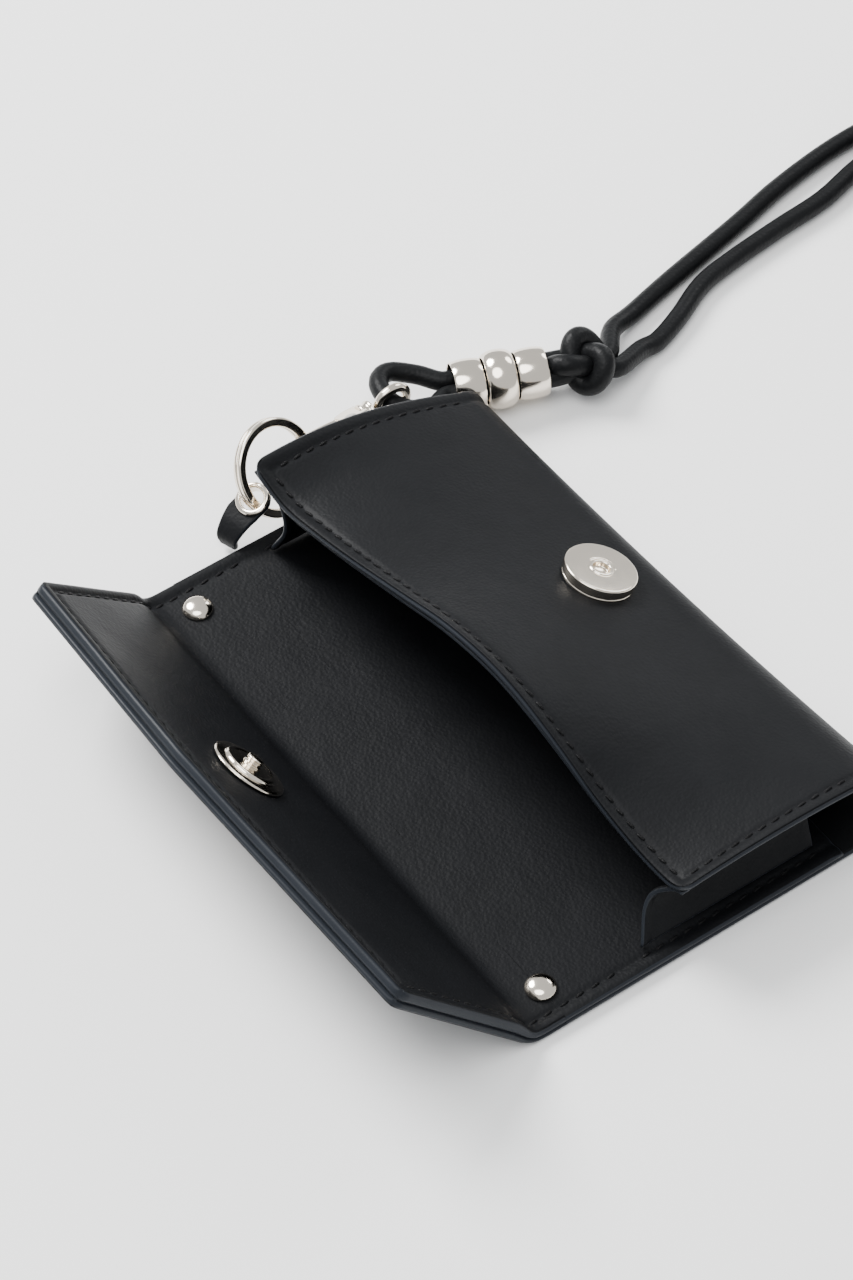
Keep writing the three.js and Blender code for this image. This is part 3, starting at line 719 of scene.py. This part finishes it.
def stitches(name, points, ups, pitch=PITCH, slant=9.0, lift=0.1):
    bm = bmesh.new()
    for at, ahead, k in along_line(points, pitch):
        up = (ups[k] if isinstance(ups, list) else Vector(ups)).normalized()
        side = up.cross(ahead).normalized()
        ahead = (ahead * math.cos(math.radians(slant)) + side * math.sin(math.radians(slant))).normalized()
        side = up.cross(ahead).normalized()
        rings = []
        for n in range(9):
            t = n / 8 * 2 - 1
            r = 0.36 * math.sqrt(max(0.02, 1 - abs(t) ** 3))
            centre = at + ahead * (t * pitch * 0.40) + up * (lift - 0.45 * t ** 4)
            rings.append([bm.verts.new((centre + side * r * math.cos(a) * 1.1 + up * r * math.sin(a)) * MM)
                          for a in (2 * math.pi * m / 8 for m in range(8))])
        for a, b in zip(rings, rings[1:]):
            for m in range(8):
                bm.faces.new((a[m], a[(m + 1) % 8], b[(m + 1) % 8], b[m]))
        bm.faces.new(rings[0])
        bm.faces.new(rings[-1])
    return finished(name, bm, [THREAD])


# %% [markdown]
# ## Rows of stitches
# A row needs the surface under it and the direction that points out of it. Both come from the same formula as
# the leather, so the thread sits in its groove wherever the leather goes.

# %% Rows of stitches
def row_on(place, uvs):
    """Points and outward directions of a surface formula along a list of (u, v)."""
    points, ups = [], []
    for u, v in uvs:
        p = Vector(place(u, v, 1))
        a = Vector(place(u + 0.002, v, 1)) - Vector(place(u - 0.002, v, 1))
        b = Vector(place(u, v + 0.002, 1)) - Vector(place(u, v - 0.002, 1))
        n = a.cross(b)
        n = -n if n.dot(p - Vector(place(u, v, 0))) < 0 else n
        points.append(p)
        ups.append(n.normalized())
    return points, ups


IN = SEAM
side_s = [lerp(2.02, 3 - IN / LIP_RUN - 0.03, k / 40) for k in range(41)]
lip_x = [lerp(-HALF + IN + 1.4, HALF - IN - 1.4, k / 120) for k in range(121)]
rows = [("seam_front_left", body_skin, [(-HALF + IN, s) for s in side_s]),
        ("seam_front_right", body_skin, [(HALF - IN, s) for s in side_s]),
        ("seam_lip", body_skin, [(x, 3 - IN / LIP_RUN) for x in lip_x])]
for name, place, uvs in rows:
    points, ups = row_on(place, uvs)
    row = stitches(name, points, ups)
    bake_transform(row)

for name, x in (("seam_back_left", -HALF + IN), ("seam_back_right", HALF - IN)):
    points, ups = row_on(lining_back, [(x, lerp(0.02, 0.88, k / 30)) for k in range(31)])
    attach(stitches(name, points, ups), "back")

for name, x in (("seam_flap_left", -HALF + IN), ("seam_flap_right", HALF - IN)):
    points, ups = row_on(flap_middle_at, [(x, lerp(back_run + 4.6, CUT, k / 30)) for k in range(31)])
    row = stitches(name, points, ups)
    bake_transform(row)

def in_u(d):
    """How far across the flap its side seam runs."""
    return 1 - IN / flap_half(d)


edge_run = [lerp(CUT + 0.5, FRONT_LEN - IN - 1.2, k / 60) for k in range(61)]
flap_rows = [("seam_facing_left", [(-in_u(d), d) for d in edge_run]),
             ("seam_facing_right", [(in_u(d), d) for d in edge_run]),
             ("seam_facing_tip", [(lerp(-0.925, 0.925, k / 120), FRONT_LEN - IN) for k in range(121)])]
for name, uvs in flap_rows:
    points, ups = row_on(flap_front_at, uvs)
    row = stitches(name, points, ups)
    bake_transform(row)

# %% [markdown]
# ## Snap, rivets and beads
# These are turned parts: one profile of radius and height, spun round its axis. The snap plate has two low
# steps and a short ridged stud in the middle, and a plain cap on the other side of the flap.

# %% Turned metal
INWARD_T = tuple(INWARD)
plate_at = START + ALONG * 28.5 + Vector((-7, 0, 0))
H = 2.9
plate = turned("snap_plate_turned", [
    (0, H + 0.2), (9.2, H + 0.2), (9.5, H + 0.4), (9.5, H + 0.75), (9.25, H + 1.0), (8.5, H + 1.12), (7.1, H + 1.2),
    (6.85, H + 1.3), (6.7, H + 1.75), (6.4, H + 1.95), (5.3, H + 2.02), (5.0, H + 1.9), (4.7, H + 1.95),
    (0, H + 2.0)],
    plate_at, INWARD_T, NICKEL, 96)
hide_for(plate, "flap_front", "snap_plate")
stud = turned("snap_stud_turned", [
    (0, H + 2.0), (2.3, H + 2.0), (2.3, H + 2.3), (1.75, H + 2.5), (1.7, H + 2.8), (2.1, H + 3.0), (2.15, H + 3.3),
    (1.8, H + 3.45), (1.8, H + 3.5), (2.1, H + 3.6), (2.0, H + 3.75), (1.7, H + 3.9), (0, H + 3.9)], plate_at,
    INWARD_T, NICKEL, 72)
hide_for(stud, "flap_front", "snap_stud")
cap = turned("snap_cap_turned", [(0, -3.2), (3.0, -3.1), (5.0, -2.75), (6.0, -2.2), (6.2, -1.8), (6.0, -1.5),
                                 (0, -1.5)],
             plate_at, INWARD_T, NICKEL, 72)
hide_for(cap, "flap_front", "snap_cap")
post = turned("snap_post_turned", [(0, -1.5), (1.9, -1.5), (1.9, H + 0.2), (0, H + 0.2)], plate_at, INWARD_T,
              DULL, 32)
hide_for(post, "flap_front", "snap_post")

# %% [markdown]
# ## The snap's socket
# The socket is a thick flat disc with a small hole. It sits on the arched front panel, so its axis stands
# square on the surface there.

# %% Snap socket
v = 0.0
while front_skin(-7, v).y > 20.2:
    v += 0.002
seat = front_skin(-7, v) + Vector((-7, 0, 0))
run = (front_skin(-7, v + 0.05) - front_skin(-7, v)).normalized()
seat_up = (0, run.z, -run.y)
socket = turned("snap_socket_turned", [
    (0, -3.1), (1.9, -3.1), (1.9, 0.1), (8.5, 0.1), (8.9, 0.3), (8.9, 0.9), (8.7, 1.05), (8.9, 1.2), (9.0, 1.4),
    (9.0, 3.2),
    (8.85, 3.5), (8.5, 3.65), (3.5, 3.65), (3.3, 3.5), (3.0, 3.5), (2.85, 3.75), (2.3, 3.78), (2.1, 3.5),
    (2.0, 2.4), (0, 2.3)],
    seat, seat_up, NICKEL, 96)
hide_for(socket, "front", "snap_socket")
back_cap = turned("snap_socket_back_turned", [(0, -4.9), (3.6, -4.8), (4.6, -4.5), (5.0, -4.0), (5.0, -3.4),
                                              (0, -3.4)],
                  seat, seat_up, DULL, 48)
hide_for(back_cap, "front", "snap_socket_back")

# %% [markdown]
# ## Rivets
# Two low domes hold the layers of the flap together at its ends.

# %% Rivets
for tag, s in (("left", -1), ("right", 1)):
    at = (s * 68, -51.5, 0)
    dome = turned("rivet_" + tag + "_dome", [
        (0, 2.7), (3.4, 2.7), (3.7, 2.95), (3.75, 3.25), (3.5, 3.75), (3.0, 4.25), (2.3, 4.6), (1.4, 4.82),
        (0, 4.9)],
        at, (0, 0, 1), NICKEL, 64)
    hide_for(dome, "flap_middle", "rivet_" + tag + "_cap")
    under = turned("rivet_" + tag + "_under", [(0, -0.02), (2.9, 0.0), (3.5, 0.25), (3.6, 0.5), (3.4, 0.7),
                                               (0, 0.7)],
                   at, (0, 0, 1), DULL, 48)
    hide_for(under, "flap_middle", "rivet_" + tag + "_back")

# %% [markdown]
# ## Beads
# The beads are drawn a little rounder and larger than their solids, because a rolled bead swells in the
# middle.

# %% Beads
for name, step, d in (("bead_inner", -8, 12.9), ("bead_middle", 0, 14.9), ("bead_outer", 8, 12.9)):
    r, b, h = d / 2, 5.75, 3.85
    angles = [math.radians(-84 + 8.4 * k) for k in range(21)]
    arc = [(b + (r - b) * math.cos(a) ** 1.1, h * math.sin(a)) for a in angles]
    bead = turned(name + "_turned", [(b, -h + 0.5)] + arc + [(b, h - 0.5)],
                  bead_mid + bead_dir * step, tuple(bead_dir), NICKEL, 96)
    hide_for(bead, name, name)

# %% [markdown]
# ## Ring, tab and swivel hook
# The ring is two turns of flat wire pressed together, so its rim shows a groove. It passes through an eyelet
# in a narrow tab that rises from the corner. The hook has a curved bow, a sprung lever as its gate, two
# cheeks, and a barrel that lets the eye turn.

# %% Ring, tab and hook
ring_c, ring_n = Vector((-87, -15.8, 12.4)), (0.798, 0.249, 0.549)
RI, RO = 9.9, 12.15
band = [(RI, 0.12), (RI + 0.35, 0.02), (RO - 0.35, 0.02), (RO, 0.2), (RO, 1.0), (RO - 0.4, 1.35),
        (RI + 0.4, 1.35), (RI, 1.0)]
ring = turned("split_ring", band, ring_c, ring_n, NICKEL, 128)
hide_for(ring, "ring", "ring")
lower_turn = turned("split_ring_turn", [(r, -h) for r, h in band], ring_c, ring_n, NICKEL, 128)
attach(lower_turn, "ring")

# %% [markdown]
# ## The tab
# The tab is a narrow strip of leather that widens towards its eyelet. Its faces are cut away inside the
# eyelet, whose flange hides the cut.

# %% Tab
tab_eye, tab_up = Vector((-82.75, -25, 10.4)), Vector((0.1, -0.4, 0.9)).normalized()
tab_line = soft_line([(-81.2, -33.4, 1.6), (-81.2, -33.9, 4.6), (-81.7, -31.7, 7.2), (-82.4, -28.6, 8.8),
                      tab_eye, (-84.2, -21.2, 12.2)], 10)
across = Vector((-0.95, -0.31, -0.03)).normalized()


def tab_at(side, k, w):
    q, t = tab_line[int(k)], int(k) / (len(tab_line) - 1)
    ahead = (tab_line[min(int(k) + 1, len(tab_line) - 1)] - tab_line[max(int(k) - 1, 0)]).normalized()
    up = ahead.cross(across).normalized()
    tip = math.sqrt(max(0.05, 1 - max(0.0, (t - 0.78) / 0.23) ** 2))
    half = lerp(4.6, 8.4, min(1.0, t / 0.6)) / 2 * tip
    return q + across * side * half + up * (w - 0.5) * 1.6


tab = slab("ring_tab_leather", [-1 + k / 8 for k in range(17)], list(range(len(tab_line))), tab_at, SHEET,
           depth=0.3)
cut = bmesh.new()
cut.from_mesh(tab.data)
gone = [f for f in cut.faces if ((f.calc_center_median() / MM - tab_eye)
                                 - tab_up * (f.calc_center_median() / MM - tab_eye).dot(tab_up)).length < 3.1]
bmesh.ops.delete(cut, geom=gone, context="FACES")
cut.to_mesh(tab.data)
cut.free()
hide_for(tab, "back", "ring_tab")
eyelet = turned("tab_eyelet_turned", [
    (2.9, -1.3), (3.1, -1.45), (3.3, -1.3), (3.35, 1.0), (4.1, 1.0), (4.35, 1.25), (4.1, 1.6), (3.6, 1.75),
    (3.1, 1.65), (2.9, 1.4)],
    tab_eye, tuple(tab_up), NICKEL, 64)
hide_for(eyelet, "back", "tab_eyelet")

# %% [markdown]
# ## The swivel hook
# The hook is built from its own side and face directions, so each piece can be placed by how far along,
# across and out of the hook it lies.

# %% Swivel hook
hook_side = Vector((0.824, 0, 0.567)).normalized()
hook_face = Vector((0, 1, 0)).cross(hook_side).normalized()


def on_hook(a, b, c=0.0):
    return Vector((-89.3, a, 10.8)) + hook_side * b + hook_face * c


bow_angles = [-math.pi / 2 - k * math.pi / 12 for k in range(13)]
bow = [on_hook(-3.6 + 4.9 * math.cos(a), 4.9 * math.sin(a)) for a in bow_angles]
spine = soft_line([on_hook(10.4, -1.6), on_hook(7.5, -3.9), on_hook(2, -4.8), *bow, on_hook(-1.7, 4.9)], 6)
hook = tube("hook_bow", spine, 1.3, NICKEL, 20, 1.0, tuple(hook_face))
hide_for(hook, "hook", "hook_body")
barrel = turned("hook_barrel", [
    (1.55, 0), (2.9, 0), (3.2, 0.2), (3.3, 0.6), (3.05, 1.0), (2.85, 1.3), (2.85, 2.1), (3.05, 2.4), (3.3, 2.8),
    (3.2, 3.2),
    (2.9, 3.4), (1.55, 3.4)], on_hook(10.9, 0), (0, 1, 0), NICKEL, 72)
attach(barrel, "hook")
for tag, c0, c1 in (("near", -2.5, -1.5), ("far", 1.5, 2.5)):
    cheek = slab("hook_cheek_" + tag, [5.4 + 0.4 * k for k in range(17)], [-3.4 + 0.6 * k for k in range(14)],
                 lambda a, b, w, c0=c0, c1=c1: on_hook(a, b * lerp(0.72, 1, smoothstep((a - 5.4) / 3)),
                                                       lerp(c0, c1, w)),
                 [NICKEL] * 3, depth=0.25)
    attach(cheek, "hook")
gate_line = soft_line([on_hook(6.9, 2.7), on_hook(6.1, 3.0), on_hook(3.4, 3.9), on_hook(1.0, 4.5),
                       on_hook(-1.1, 4.9)], 8)
gate = tube("hook_lever", gate_line, lambda t: lerp(1.15, 0.9, t), NICKEL, 16, 1.0, tuple(hook_face))
hide_for(gate, "gate", "hook_gate")
hub = turned("hook_lever_hub", [(1.15, -1.2), (1.75, -1.2), (1.9, -1.0), (1.9, 1.0), (1.75, 1.2), (1.15, 1.2)],
             on_hook(7.3, 2.9), tuple(hook_face), NICKEL, 40)
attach(hub, "gate")
pin = turned("hook_pin", [(0, -2.95), (1.1, -2.9), (1.5, -2.65), (1.5, -2.55), (0.8, -2.5), (0.8, 2.5),
                          (1.5, 2.55), (1.5, 2.65),
                          (1.1, 2.9), (0, 2.95)], on_hook(7.3, 2.9), tuple(hook_face), DULL, 40)
hide_for(pin, "hook", "gate_pin")
stem = turned("swivel_stem", [(0, 1.0), (1.8, 1.0), (1.9, 1.4), (1.2, 1.7), (1.2, 8.1), (0, 8.3)],
              on_hook(8.4, 0), (0, 1, 0), NICKEL, 40)
hide_for(stem, "back", "swivel_eye")
eye = turned("swivel_eye_ring", [(4.3 + 1.2 * math.cos(a),
                                  1.2 * math.sin(a)) for a in (2 * math.pi * k / 16 for k in range(16))],
             on_hook(20.2, 0), (1, 0, 0), NICKEL, 72)
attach(eye, "back")

# %% [markdown]
# ## Knot and tie
# The knot is the same cord turned over and under itself in three rounded lobes, drawn tight. Its line is a
# formula: three lobes in the plane of the strap, with the height rising and dipping at each crossing. The tie
# is a narrow flat band round one side of the stored coil.

# %% Knot and tie
knot_at = Vector((-74.8, 66.9, 8.2))
knot_line = []
for k in range(120):
    t = 2 * math.pi * k / 120
    p = Vector((math.sin(t) + 2 * math.sin(2 * t), math.cos(t) - 2 * math.cos(2 * t),
                -1.25 * math.sin(3 * t))) * 2.3
    knot_line.append(knot_at + bead_side * p.x * 0.98 + bead_dir * p.y * 1.05 + Vector((0, 0, p.z)))
knot = tube("strap_knot_cord", knot_line + knot_line[:1], 2.7, CORD, 24)
hide_for(knot, "back", "strap_knot")

# %% [markdown]
# ## The tie
# A rectangle with rounded corners is walked corner by corner, and the band follows it.

# %% Tie
Z_LOW, Z_TOP, R_A, R_B = 1.2, 15.2, 23.2, 33.9
tie_path = []
for sx, sz, a0 in ((1, 1, 0), (-1, 1, 90), (-1, -1, 180), (1, -1, 270)):
    cx, cz = ((R_A + R_B) / 2 + sx * ((R_B - R_A) / 2 - 1.2),
              (Z_LOW + Z_TOP) / 2 + sz * ((Z_TOP - Z_LOW) / 2 - 1.2))
    for k in range(7):
        a = math.radians(a0 + 15 * k)
        tie_path.append((cx + 1.85 * math.cos(a), cz + 1.85 * math.sin(a), math.cos(a), math.sin(a)))


def tie_at(k, y, w):
    x, z, nx, nz = tie_path[int(k) % len(tie_path)]
    return COIL + Vector((x + nx * (w - 0.5) * 0.45, y, z + nz * (w - 0.5) * 0.45))


tie = slab("coil_tie_band", list(range(len(tie_path) + 1)), [-2.5 + 0.5 * k for k in range(11)], tie_at, SHEET,
           depth=0.12)
hide_for(tie, "back", "coil_tie")

# %% [markdown]
# ## Floor and studio light
# A pale floor fills the frame. The broad key light gives the shadows, a second disc overhead and the bright
# surroundings fill them, and a small one at the strap's side gives the metal something to reflect.

# %% Stage
floor_mat, tree, shader = node_material("pale floor")
shader.inputs["Base Color"].default_value = (0.95, 0.948, 0.94, 1)
shader.inputs["Roughness"].default_value = 0.85
haze = noise(tree, 3.0, 2.0)
tree.links.new(spread(tree, haze.outputs["Fac"], 0.80, 0.88), shader.inputs["Roughness"])
bm = bmesh.new()
bmesh.ops.create_grid(bm, x_segments=8, y_segments=8, size=3.0)
floor = finished("studio_floor", bm, [floor_mat], smooth=False)
floor.location.z = -0.0004


# %% [markdown]
# ## Lights
# Broad discs of light give soft shadows. The key stands on the side that throws the shadow towards the snap's
# end.

# %% Lights
def soft_light(name, at, size, power, colour=(1, 1, 1)):
    data = bpy.data.lights.new(name, "AREA")
    data.shape, data.size, data.energy, data.color = "DISK", size, power, colour
    lamp = bpy.data.objects.new(name, data)
    lamp.location = at
    lamp.rotation_mode = "QUATERNION"
    lamp.rotation_quaternion = (Vector(at) - Vector((0, 0.02, 0))).to_track_quat("Z", "Y")
    bpy.context.scene.collection.objects.link(lamp)


soft_light("key", (-1.05, -0.20, 1.05), 0.8, 42)
soft_light("top", (0.25, -0.45, 1.6), 1.2, 20)
soft_light("rim", (-0.35, 0.95, 0.65), 0.5, 3.5)
world = bpy.data.worlds.new("studio")
world.use_nodes = True
shade = next(n for n in world.node_tree.nodes if n.type == "BACKGROUND")
shade.inputs["Color"].default_value = (0.92, 0.94, 0.96, 1)
shade.inputs["Strength"].default_value = 0.87
bpy.context.scene.world = world
